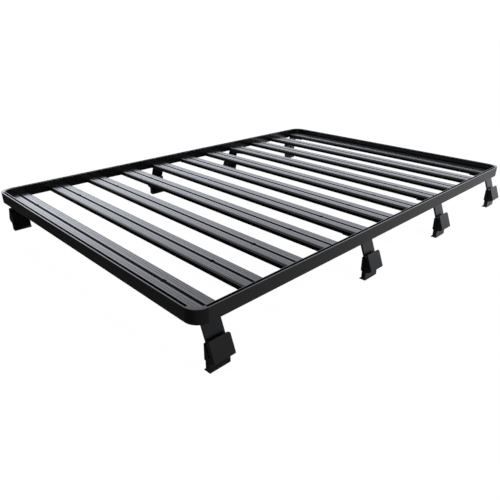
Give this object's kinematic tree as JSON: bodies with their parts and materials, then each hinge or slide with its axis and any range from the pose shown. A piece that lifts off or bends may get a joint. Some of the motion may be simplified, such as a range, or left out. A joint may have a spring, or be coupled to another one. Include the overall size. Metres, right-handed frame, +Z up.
{
  "type": "flat platform roof rack",
  "caption": "Flat platform roof rack: extruded slats inside a rounded rail frame, carried on leaning bracket legs with gutter feet.",
  "frame": {"origin": "middle of the rack at the level of the feet's soles", "axes": "+X to the rack's right side, +Y to its rear, +Z up"},
  "size_m": [1.57, 2.168, 0.215],
  "materials": {
    "rail_coat": "black powder coat, semi-gloss",
    "casting_coat": "black powder coat, satin",
    "slat_coat": "black powder coat, semi-gloss, fine texture",
    "leg_coat": "black powder coat, satin",
    "foot_coat": "black powder coat, satin"
  },
  "bodies": {
    "root": {"front_rail": "rail_coat", "rear_rail": "rail_coat", "left_rail": "rail_coat", "right_rail": "rail_coat", "corner_front_left": "casting_coat", "corner_front_right": "casting_coat", "corner_rear_left": "casting_coat", "corner_rear_right": "casting_coat", "slat_01": "slat_coat", "slat_02": "slat_coat", "slat_03": "slat_coat", "slat_04": "slat_coat", "slat_05": "slat_coat", "slat_06": "slat_coat", "slat_07": "slat_coat", "slat_08": "slat_coat", "slat_09": "slat_coat", "slat_10": "slat_coat", "slat_11": "slat_coat", "leg_left_1": "leg_coat", "leg_left_2": "leg_coat", "leg_left_3": "leg_coat", "leg_left_4": "leg_coat", "leg_right_1": "leg_coat", "leg_right_2": "leg_coat", "leg_right_3": "leg_coat", "leg_right_4": "leg_coat", "foot_left_1": "foot_coat", "foot_left_2": "foot_coat", "foot_left_3": "foot_coat", "foot_left_4": "foot_coat", "foot_right_1": "foot_coat", "foot_right_2": "foot_coat", "foot_right_3": "foot_coat", "foot_right_4": "foot_coat", "clamp_left_1": "leg_coat", "clamp_left_2": "leg_coat", "clamp_left_3": "leg_coat", "clamp_left_4": "leg_coat", "clamp_right_1": "leg_coat", "clamp_right_2": "leg_coat", "clamp_right_3": "leg_coat", "clamp_right_4": "leg_coat"}
  },
  "joints": []
}
